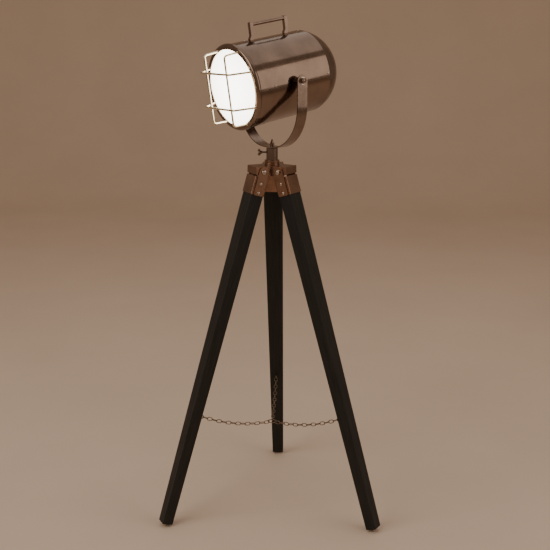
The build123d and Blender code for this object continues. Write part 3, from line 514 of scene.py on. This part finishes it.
NODE_FINISH = {
    "hub": "satin_casting", "socket_tube": "polished_fittings", "pan_washer": "bright_screws",
    "chain_ring": "dull_chain", "yoke": "brushed_strap", "yoke_spigot": "polished_fittings",
    "yoke_finial": "polished_fittings", "drum": "polished_nickel", "rear_cap": "spun_cap",
    "bezel": "polished_nickel", "lens": "lit_lens", "lens_gasket": "black_rubber",
    "lens_spacer": "black_rubber", "guard_upright_near": "guard_wire_painted_lens_light", "guard_upright_far": "guard_wire_painted_lens_light",
    "guard_rail_upper": "guard_wire_painted_lens_light", "guard_rail_lower": "guard_wire_painted_lens_light",
    "handle_front_post": "polished_fittings", "handle_rear_post": "polished_fittings",
    "handle_grip": "polished_fittings", "handle_screws": "bright_screws", "tilt_studs": "bright_screws",
    "tilt_bushes": "polished_fittings", "tilt_washers": "bright_screws", "reflector": "silvered_reflector",
    "lampholder_stem": "brass", "stem_nuts": "brass", "lampholder": "porcelain", "bulb": "frosted_bulb",
    "cable_gland": "black_rubber",
}
LEG_FINISH = {
    "leg_sleeve": "satin_sleeve", "leg_straps": "satin_sleeve", "pivot_bolt": "bright_screws",
    "foot_tip": "bright_screws", "chain_eye": "dull_chain",
}


def dress(piece, material_name):
    """Gives a piece or a CAD node one finish."""
    material = bpy.data.materials[material_name]
    piece.data.materials.clear()
    piece.data.materials.append(material)


# ---------------------------------------------------------------- operators


class LAMP_OT_finishes(bpy.types.Operator):
    """Give every CAD node of the lamp its finish"""

    bl_idname = "lamp.finishes"
    bl_label = "Finishes"

    def execute(self, context):
        finishes()
        table = dict(NODE_FINISH)
        for side in SIDES:
            table[f"{side}_leg"] = f"black_wood_{side}"
            for part, finish in LEG_FINISH.items():
                table[f"{side}_{part}"] = finish
        for node, finish in table.items():
            dress(frame["nodes"][node], finish)
        return {"FINISHED"}


def chain_points(start, end, sag, count):
    """Where the links of a hanging chain meet, on an arc below the line from start to end."""
    chord = end - start
    span = chord.length
    radius = (span**2 / 4 + sag**2) / (2 * sag)
    half_angle = asin(span / 2 / radius)
    along = chord.normalized()
    below = (Vector((0, 0, -1)) + along * along.z).normalized()
    centre = (start + end) / 2 - below * (radius - sag)
    points = []
    for number in range(count + 1):
        angle = half_angle * (2 * number / count - 1)
        points.append(centre + along * (radius * sin(angle)) + below * (radius * cos(angle)))
    return points


def oval_link(length, width, wire):
    """One link along X: a torus whose two halves are drawn apart."""
    bend = width / 2 - wire
    link = add(
        bpy.ops.mesh.primitive_torus_add, major_radius=bend, minor_radius=wire,
        major_segments=14, minor_segments=8,
    )
    bpy.ops.object.mode_set(mode="EDIT")
    for end in (-1, 1):
        select_vertices(lambda point, end=end: point.x * end > bend * 0.01)
        bpy.ops.transform.translate(value=(end * (length / 2 - bend), 0, 0))
    bpy.ops.object.mode_set(mode="OBJECT")
    return link


class LAMP_OT_chains(bpy.types.Operator):
    """Model the three spreader chains, from the leg's eye to the ring"""

    bl_idname = "lamp.chains"
    bl_label = "Spreader chains"

    def execute(self, context):
        sizes = context.scene.lamp_sizes
        wire = sizes.link_wire
        eye_low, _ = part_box("rear_chain_eye")
        ring_low, ring_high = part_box("chain_ring")
        ring_reach = ring_high.x - (ring_high.z - ring_low.z)
        eye = Vector((eye_low.y + EYE_OUTER, 0, eye_low.z + EYE_OUTER))
        ring = Vector((ring_reach - LINK_PLAY, 0, middle("chain_ring").z))
        start = eye + (ring - eye).normalized() * (EYE_OUTER - EYE_WIRE - LINK_PLAY)
        points = chain_points(start, ring, sizes.chain_sag, sizes.link_count)
        length = (points[1] - points[0]).length + 2 * wire + LINK_PLAY
        for side, azimuth in SIDES.items():
            turn = Matrix.Rotation(radians(azimuth), 4, "Z")
            places = []
            for number in range(sizes.link_count):
                here, there = points[number], points[number + 1]
                along = (there - here).normalized()
                level = Vector((0, 1, 0))
                normal = along.cross(level) if number % 2 == 0 else level
                rows = Matrix((along, normal.cross(along), normal)).transposed().to_4x4()
                rows.translation = (here + there) / 2
                places.append(turn @ rows)
            link = oval_link(length - 2 * wire, sizes.link_width, wire)
            chain = copies(link, places, f"{side}_hanging_chain")
            dress(chain, "dull_chain")
            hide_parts(f"{side}_chain")
            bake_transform(chain)
        return {"FINISHED"}


class LAMP_OT_strap_screws(bpy.types.Operator):
    """Model the slotted screws that hold the straps to the legs"""

    bl_idname = "lamp.strap_screws"
    bl_label = "Strap screws"

    def execute(self, context):
        radius = context.scene.lamp_sizes.strap_screw_radius
        for side_number, side in enumerate(SIDES):
            pivot, across, up_leg = leg_axes(side)
            places = []
            for way in (-1, 1):
                for number, drop in enumerate(STRAP_SCREW_DROPS):
                    slot_angle = 0.7 + 1.9 * number + 0.8 * side_number + 0.5 * way
                    face = pivot - up_leg * drop + across * (way * STRAP_FACE)
                    seat = place_along(face, across * way, up_leg)
                    places.append(seat @ Matrix.Rotation(slot_angle, 4, "Z"))
            pattern = slotted_head(radius, STRAP_SCREW_HEIGHT, STRAP_SCREW_SLOT)
            screws = copies(pattern, places, f"{side}_slotted_screws")
            dress(screws, "bright_screws")
            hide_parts(f"{side}_strap_screws")
            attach(screws, f"{side}_leg_body")
        return {"FINISHED"}


class LAMP_OT_body_screws(bpy.types.Operator):
    """Model the small slotted screws round the bezel and the rear cap"""

    bl_idname = "lamp.body_screws"
    bl_label = "Body screws"

    def execute(self, context):
        radius = context.scene.lamp_sizes.body_screw_radius
        rings = (
            ("bezel_screws", "bezel_slotted_screws", SKIRT_RADIUS),
            ("rear_cap_screws", "cap_slotted_screws", DRUM_RADIUS),
        )
        for node, name, seat_radius in rings:
            along = (middle(node) - PIVOT).dot(BEAM)
            places = []
            for number in range(4):
                angle = number * pi / 2
                outward = NEAR_SIDE * cos(angle) + HEAD_UP * sin(angle)
                seat = place_along(PIVOT + BEAM * along + outward * seat_radius, outward, BEAM)
                places.append(seat @ Matrix.Rotation(0.6 + 1.3 * number, 4, "Z"))
            pattern = slotted_head(radius, BODY_SCREW_HEIGHT, BODY_SCREW_SLOT)
            screws = copies(pattern, places, name)
            dress(screws, "bright_screws")
            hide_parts(node)
            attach(screws, "head")
        return {"FINISHED"}


class LAMP_OT_tilt_knobs(bpy.types.Operator):
    """Model the two fluted knobs that lock the tilt"""

    bl_idname = "lamp.tilt_knobs"
    bl_label = "Tilt knobs"

    def execute(self, context):
        sizes = context.scene.lamp_sizes
        radius, length = sizes.knob_radius, sizes.knob_length
        for name, way in (("near", 1), ("far", -1)):
            knob = add(bpy.ops.mesh.primitive_cylinder_add, vertices=KNOB_SIDES, radius=radius, depth=length)
            knob.location = (0, 0, length / 2)
            bpy.ops.object.transform_apply(location=True, rotation=True, scale=True)
            bpy.ops.object.mode_set(mode="EDIT")
            select_faces(lambda place, normal: normal.z > 0.9)
            bpy.ops.mesh.inset(thickness=radius * 0.38)
            bpy.ops.transform.translate(value=(0, 0, -length * 0.10))
            bpy.ops.mesh.inset(thickness=radius * 0.12)
            bpy.ops.transform.translate(value=(0, 0, length * 0.06))
            select_edges(lambda point: point.z > length * 0.99 and point.xy.length > radius * 0.98)
            bpy.ops.mesh.bevel(offset=length * 0.22, segments=4, profile=0.5)
            select_faces(
                lambda place, normal: abs(normal.z) < 0.1
                and int((place.xy.angle_signed(Vector((1, 0))) + pi) / (2 * pi / KNOB_SIDES))
                % FLUTE_EVERY == 0
            )
            bpy.ops.mesh.inset(thickness=radius * 0.02, use_individual=True)
            bpy.ops.transform.resize(value=(0.94, 0.94, 1))
            bpy.ops.object.mode_set(mode="OBJECT")
            low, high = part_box(f"tilt_knob_{name}")
            outward = NEAR_SIDE * way
            reach = abs(((low + high) / 2 - PIVOT).dot(outward)) - length / 2
            seat = place_along(PIVOT + outward * reach, outward, HEAD_UP)
            piece = copies(knob, [seat], f"fluted_knob_{name}")
            dress(piece, "polished_fittings")
            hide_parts(f"tilt_knob_{name}")
            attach(piece, f"knob_{name}")
        return {"FINISHED"}


class LAMP_OT_thumb_screw(bpy.types.Operator):
    """Model the winged screw that locks the yoke's turn"""

    bl_idname = "lamp.thumb_screw"
    bl_label = "Thumb screw"

    def execute(self, context):
        radius = context.scene.lamp_sizes.wing_radius
        joint = JOINTS["pan_lock_turn"]
        height = Vector(joint["pos_m"]).z
        outward = Vector(joint["axis"]).normalized()
        if outward.dot(middle("thumb_screw") - Vector((0, 0, height))) < 0:
            outward = -outward
        shank = add(
            bpy.ops.mesh.primitive_cylinder_add, vertices=24, radius=SCREW_RADIUS,
            depth=SCREW_WING - SCREW_START, location=(0, 0, (SCREW_WING + SCREW_START) / 2),
        )
        boss = add(
            bpy.ops.mesh.primitive_cylinder_add, vertices=28, radius=BOSS_RADIUS, depth=BOSS_LENGTH,
            location=(0, 0, SCREW_WING - BOSS_LENGTH / 2),
        )
        bpy.ops.object.transform_apply(location=True, rotation=True, scale=True)
        bpy.ops.object.mode_set(mode="EDIT")
        (low_end, low_chamfer), (high_end, high_chamfer) = BOSS_CHAMFERS
        select_edges(lambda point: point.z < SCREW_WING + low_end)
        bpy.ops.mesh.bevel(offset=low_chamfer, segments=3, profile=0.5)
        select_edges(lambda point: point.z > SCREW_WING + high_end)
        bpy.ops.mesh.bevel(offset=high_chamfer, segments=3, profile=0.5)
        bpy.ops.object.mode_set(mode="OBJECT")
        parts = [shank, boss]
        for way in (-1, 1):
            lobe = add(
                bpy.ops.mesh.primitive_cylinder_add, vertices=28, radius=radius, depth=WING_THICKNESS,
                location=(way * WING_SPREAD, 0, SCREW_WING), rotation=(pi / 2, 0, 0),
            )
            bpy.ops.object.transform_apply(location=True, rotation=True, scale=True)
            bpy.ops.object.mode_set(mode="EDIT")
            select_edges(lambda point: abs(point.y) > WING_THICKNESS * 0.49)
            bpy.ops.mesh.bevel(offset=WING_THICKNESS * 0.28, segments=3, profile=0.5)
            bpy.ops.object.mode_set(mode="OBJECT")
            parts.append(lobe)
        seat = place_along(Vector((0, 0, height)), outward, Vector((0, 0, 1)))
        for part in parts:
            part.matrix_world = seat @ part.matrix_world
        piece = joined(parts, "winged_screw")
        dress(piece, "polished_fittings")
        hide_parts("thumb_screw")
        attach(piece, "pan_lock")
        return {"FINISHED"}


class LAMP_OT_guard_welds(bpy.types.Operator):
    """Model the weld beads where the guard's wires cross and where they meet the bezel"""

    bl_idname = "lamp.guard_welds"
    bl_label = "Guard welds"

    def execute(self, context):
        foot = (GUARD_FOOT**2 - GUARD_SPACING**2) ** 0.5
        contact = BEZEL_FRONT + GUARD_STANDOFF + GUARD_WIRE
        bead = add(bpy.ops.mesh.primitive_uv_sphere_add, segments=20, ring_count=12, radius=1)
        bead.scale = WELD_BEAD
        bpy.ops.object.transform_apply(location=True, rotation=True, scale=True)
        crossings = []
        for side in (-1, 1):
            for up in (-1, 1):
                crossing = head_point(contact, side * GUARD_SPACING, up * GUARD_SPACING)
                crossings.append(place_along(crossing, BEAM, HEAD_UP))
        collar = add(
            bpy.ops.mesh.primitive_torus_add, major_radius=GUARD_WIRE + COLLAR_GAP,
            minor_radius=COLLAR_RADIUS, major_segments=24, minor_segments=8,
        )
        seats = []
        for one in (-1, 1):
            for other in (-1, 1):
                for side, up in ((one * GUARD_SPACING, other * foot), (one * foot, other * GUARD_SPACING)):
                    seat = head_point(BEZEL_FRONT + COLLAR_LIFT, side, up)
                    seats.append(place_along(seat, BEAM, HEAD_UP))
        knots = copies(bead, crossings, "crossing_welds")
        collars = copies(collar, seats, "foot_welds")
        for piece in (knots, collars):
            # The welds take the guard's pale colour, which is painted light from the lens.
            dress(piece, "guard_wire_painted_lens_light")
            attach(piece, "head")
        return {"FINISHED"}


class LAMP_OT_stage(bpy.types.Operator):
    """Make the pale floor, the soft lights and the camera"""

    bl_idname = "lamp.stage"
    bl_label = "Stage"

    def execute(self, context):
        look = context.scene.lamp_finish
        far_edge = FLOOR_SIZE / 2 - 0.1
        floor = add(bpy.ops.mesh.primitive_plane_add, size=FLOOR_SIZE, location=(0, 0, 0))
        bpy.ops.object.mode_set(mode="EDIT")
        select_edges(lambda point: point.y > far_edge)
        bpy.ops.mesh.extrude_region_move(TRANSFORM_OT_translate={"value": (0, 0, BACKDROP_HEIGHT)})
        select_edges(lambda point: point.y > far_edge and point.z < 0.1)
        bpy.ops.mesh.bevel(offset=BACKDROP_BEND, segments=16, profile=0.5)
        bpy.ops.object.mode_set(mode="OBJECT")
        bpy.ops.object.shade_smooth()
        floor.name = "floor_sweep"
        made = Nodes("pale_floor")
        cloud = made.noise(made.mapping(), 1.6, 5)
        colour = tuple(look.floor)
        tone = made.ramp(cloud, "Fac", [(0.3, shaded(colour, 0.97)), (0.7, shaded(colour, 1.03))])
        made.join(tone, "Color", made.shader, "Base Color")
        made.shader.inputs["Roughness"].default_value = 0.62
        made.shader.inputs["Specular IOR Level"].default_value = 0.2
        floor.data.materials.append(made.material)

        world = bpy.data.worlds.new("soft_surroundings")
        world.use_nodes = True
        background = world.node_tree.nodes["Background"]
        background.inputs["Color"].default_value = (*look.surroundings, 1)
        background.inputs["Strength"].default_value = 0.55
        context.scene.world = world

        softboxes = (
            ("key_softbox", (-2.6, -2.2, 3.2), (1.0, 0.94, 0.86), look.key_power, 3.0, 3.0),
            ("fill_softbox", (3.2, -1.4, 2.2), (1.0, 0.90, 0.80), look.key_power * 0.45, 2.8, 2.8),
            ("top_softbox", (0.4, 0.6, 4.0), (1.0, 0.95, 0.90), look.key_power * 0.5, 4.0, 4.0),
        )
        for name, place, tint, power, width, height in softboxes:
            data = bpy.data.lights.new(name, "AREA")
            data.shape = "RECTANGLE"
            data.size, data.size_y = width, height
            data.energy = power
            data.color = tint
            light = bpy.data.objects.new(name, data)
            light.location = place
            towards = LIGHT_TARGET - Vector(place)
            light.rotation_euler = towards.to_track_quat("-Z", "Y").to_euler()
            context.collection.objects.link(light)

        data = bpy.data.cameras.new("camera")
        data.lens = CAMERA_LENS
        data.sensor_width = 36.0
        camera = bpy.data.objects.new("camera", data)
        camera.location = CAMERA_PLACE
        camera.rotation_euler = (radians(90 - CAMERA_DIP), 0, radians(CAMERA_SWING))
        context.collection.objects.link(camera)
        context.scene.camera = camera
        return {"FINISHED"}


OPERATORS = (
    LAMP_OT_finishes,
    LAMP_OT_chains,
    LAMP_OT_strap_screws,
    LAMP_OT_body_screws,
    LAMP_OT_tilt_knobs,
    LAMP_OT_thumb_screw,
    LAMP_OT_guard_welds,
    LAMP_OT_stage,
)


class LAMP_PT_panel(bpy.types.Panel):
    """The lamp's settings and operators"""

    bl_idname = "LAMP_PT_panel"
    bl_label = "Floor lamp"
    bl_space_type = "VIEW_3D"
    bl_region_type = "UI"
    bl_category = "Floor lamp"

    def draw(self, context):
        for group in (context.scene.lamp_sizes, context.scene.lamp_finish):
            for name in group.__annotations__:
                self.layout.prop(group, name)
        for operator in OPERATORS:
            self.layout.operator(operator.bl_idname)


CLASSES = (LampSizes, LampFinish, *OPERATORS, LAMP_PT_panel)


def register():
    for made in CLASSES:
        bpy.utils.register_class(made)
    bpy.types.Scene.lamp_sizes = bpy.props.PointerProperty(type=LampSizes)
    bpy.types.Scene.lamp_finish = bpy.props.PointerProperty(type=LampFinish)


def unregister():
    del bpy.types.Scene.lamp_finish
    del bpy.types.Scene.lamp_sizes
    for made in reversed(CLASSES):
        bpy.utils.unregister_class(made)


def main():
    """Registers the add-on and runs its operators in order."""
    register()
    for operator in OPERATORS:
        family, name = operator.bl_idname.split(".")
        getattr(getattr(bpy.ops, family), name)()


if __name__ == "__main__":
    main()
